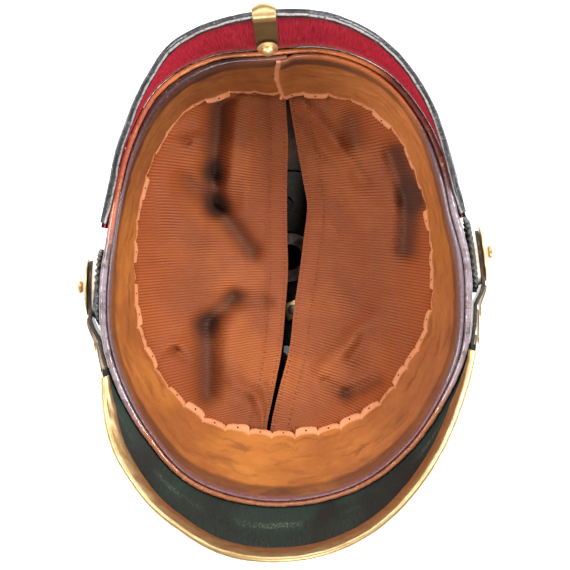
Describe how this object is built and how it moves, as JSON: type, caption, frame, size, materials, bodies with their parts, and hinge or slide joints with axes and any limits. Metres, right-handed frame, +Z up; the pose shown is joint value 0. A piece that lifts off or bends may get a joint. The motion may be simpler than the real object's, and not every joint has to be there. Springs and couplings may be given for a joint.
{
  "type": "spiked leather parade helmet without its spike",
  "caption": "Hard leather military helmet with front peak, neck guard, chin scales, sweatband and ribbed silk lining, resting crown down with its hollow open.",
  "frame": {"origin": "centre of the flat end of the vent neck, which the helmet stands on", "axes": "+Z up out of the open hollow, -Y towards the front peak, +Y towards the neck guard, +X towards the wearer's right"},
  "size_m": [0.2067, 0.2662, 0.2029],
  "materials": {
    "skull_leather": "black lacquered hard leather",
    "peak_leather": "dark green-black painted underside, scuffed",
    "guard_leather": "crimson painted underside, mottled",
    "binding_leather": "black grained leather",
    "welt_leather": "dark purple-brown polished leather",
    "band_leather": "tan leather, worn and creased",
    "strap_leather": "dark brown leather",
    "ribbed_silk": "orange-brown ribbed silk",
    "black_disc": "blackened, matt",
    "cockade_paint": "black paint with a silver ring",
    "grey_metal": "dull pinkish grey",
    "brass": "polished brass with tarnish in the recesses"
  },
  "bodies": {
    "root": {"skull": "skull_leather", "front_peak": "peak_leather", "peak_trim": "brass", "neck_guard": "guard_leather", "guard_binding": "binding_leather", "rim_welt": "welt_leather", "sweatband": "band_leather", "lining_left": "ribbed_silk", "lining_right": "ribbed_silk", "crown_disc": "black_disc", "vent_ring": "grey_metal", "front_nut": "brass", "rear_washer": "black_disc", "base_and_neck": "brass", "rear_spine": "brass", "spine_stud": "brass", "cockade_right": "cockade_paint", "cockade_left": "cockade_paint", "rosette_right": "brass", "rosette_left": "brass", "knob_right": "brass", "knob_left": "brass", "chin_strap": "strap_leather", "scales_right": "brass", "scales_left": "brass"}
  },
  "joints": []
}
